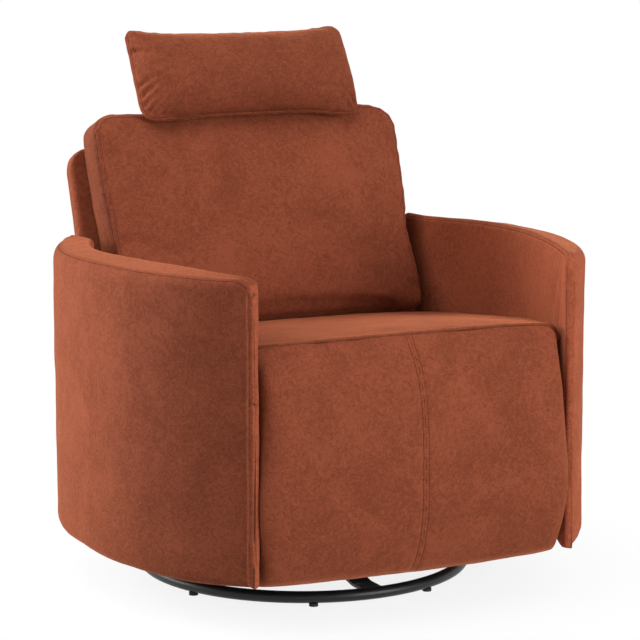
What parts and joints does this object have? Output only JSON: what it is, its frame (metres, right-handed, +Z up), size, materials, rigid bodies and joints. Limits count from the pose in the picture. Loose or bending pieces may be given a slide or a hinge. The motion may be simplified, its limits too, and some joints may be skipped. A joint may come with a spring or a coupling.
{
  "type": "swivel glider recliner",
  "caption": "Barrel-shaped upholstered swivel glider recliner on a round steel ring, with a linkage footrest, reclining back and tilting headrest pillow.",
  "frame": {"origin": "on the floor, under the middle of the chair's outline at rest; the swivel axis stands 61 mm behind it", "axes": "+Z up, -Y is where the sitter faces, +X is at the right of a viewer in front of the chair"},
  "size_m": [0.9012, 0.8226, 0.9497],
  "materials": {
    "black_steel": "satin black powder coat",
    "zinc_steel": "zinc plated",
    "timber": "raw sawn beech",
    "rust_velvet": "rust velvet with a soft mottled nap",
    "rubber": "matte",
    "elastic_web": "woven elastic"
  },
  "bodies": {
    "base": {"base_ring": "black_steel", "ring_feet": "rubber", "cross_bar_side": "black_steel", "cross_bar_front": "black_steel", "swivel_plate_lower": "zinc_steel", "swivel_balls": "zinc_steel", "king_bolt": "zinc_steel", "hub_bolts": "zinc_steel"},
    "turntable": {"swivel_plate_upper": "zinc_steel", "turntable_channels": "black_steel", "turntable_bolts": "zinc_steel", "glide_stand_left": "black_steel", "glide_stand_right": "black_steel", "glide_top_pins": "zinc_steel"},
    "front_links": {"glide_links_front": "black_steel"},
    "rear_links": {"glide_links_rear": "black_steel"},
    "carriage": {"glide_bottom_pins": "zinc_steel", "side_plate_left": "black_steel", "side_plate_right": "black_steel", "cross_tubes": "black_steel", "seat_rail_front": "timber", "seat_rail_rear": "timber", "seat_rails_side": "timber", "seat_bolts": "zinc_steel", "seat_springs": "black_steel", "spring_clips": "zinc_steel", "seat_cushion": "rust_velvet", "arm_frame_left": "timber", "arm_frame_right": "timber", "arm_cover_left": "rust_velvet", "arm_cover_right": "rust_velvet", "arm_brackets": "black_steel", "arm_bolts": "zinc_steel", "body_rails": "timber", "rear_panel": "rust_velvet", "swing_rivets": "zinc_steel", "back_pivot_bolts": "zinc_steel"},
    "lift": {"torque_tube": "black_steel", "lift_link_left": "black_steel", "lift_link_right": "black_steel", "lift_rivets": "zinc_steel"},
    "swing": {"swing_links": "black_steel"},
    "carrier": {"carrier_link_left": "black_steel", "carrier_link_right": "black_steel", "carrier_rivets": "zinc_steel"},
    "footrest": {"footrest_brackets": "black_steel", "footrest_rivets": "zinc_steel", "footrest_board": "timber", "footrest_pad": "rust_velvet"},
    "ties": {"tie_links": "black_steel"},
    "back": {"back_frame": "timber", "back_brackets": "black_steel", "back_webbing": "elastic_web", "outside_back": "rust_velvet", "back_cushion": "rust_velvet", "headrest_leaves": "black_steel", "headrest_pins": "zinc_steel"},
    "headrest": {"headrest_arms": "black_steel", "headrest_board": "timber", "headrest_pillow": "rust_velvet"}
  },
  "joints": [
    {"name": "swivel", "type": "hinge", "parent": "base", "child": "turntable", "pos_m": [0, 0.06096, 0.051], "axis": [0, 0, 1], "continuous": true},
    {"name": "glide", "type": "hinge", "parent": "turntable", "child": "front_links", "pos_m": [0, -0.06404, 0.238], "axis": [1, 0, 0], "range_deg": [-26, 26]},
    {"name": "glide_rear", "type": "hinge", "parent": "turntable", "child": "rear_links", "pos_m": [0, 0.18596, 0.238], "axis": [1, 0, 0], "range_deg": [-26, 26]},
    {"name": "glide_level", "type": "hinge", "parent": "front_links", "child": "carriage", "pos_m": [0, -0.06404, 0.138], "axis": [1, 0, 0], "range_deg": [-26, 26]},
    {"name": "footrest_lift", "type": "hinge", "parent": "carriage", "child": "lift", "pos_m": [0, -0.14404, 0.3281], "axis": [-1, 0, 0], "range_deg": [0, 90]},
    {"name": "swing_follow", "type": "hinge", "parent": "carriage", "child": "swing", "pos_m": [0, -0.22826, 0.37204], "axis": [-1, 0, 0], "range_deg": [0, 90]},
    {"name": "carrier_follow", "type": "hinge", "parent": "lift", "child": "carrier", "pos_m": [0, -0.08478, 0.12143], "axis": [-1, 0, 0], "range_deg": [-90, 0]},
    {"name": "footrest_turn", "type": "hinge", "parent": "carrier", "child": "footrest", "pos_m": [0, -0.31204, 0.24], "axis": [-1, 0, 0], "range_deg": [0, 90]},
    {"name": "tie_follow", "type": "hinge", "parent": "footrest", "child": "ties", "pos_m": [0, -0.31204, 0.298], "axis": [-1, 0, 0], "range_deg": [-90, 0]},
    {"name": "back_recline", "type": "hinge", "parent": "carriage", "child": "back", "pos_m": [0, 0.22035, 0.37675], "axis": [-1, 0, 0], "range_deg": [0, 42]},
    {"name": "headrest_tilt", "type": "hinge", "parent": "back", "child": "headrest", "pos_m": [0, 0.4068, 0.78704], "axis": [-1, 0, 0], "range_deg": [0, 45]}
  ],
  "couplings": [
    {"joint": "glide_rear", "follows": "glide", "ratio": 1},
    {"joint": "glide_level", "follows": "glide", "ratio": -1},
    {"joint": "swing_follow", "follows": "footrest_lift", "ratio": 1},
    {"joint": "carrier_follow", "follows": "footrest_lift", "ratio": -1},
    {"joint": "footrest_turn", "follows": "footrest_lift", "ratio": 1},
    {"joint": "tie_follow", "follows": "footrest_lift", "ratio": -1}
  ]
}
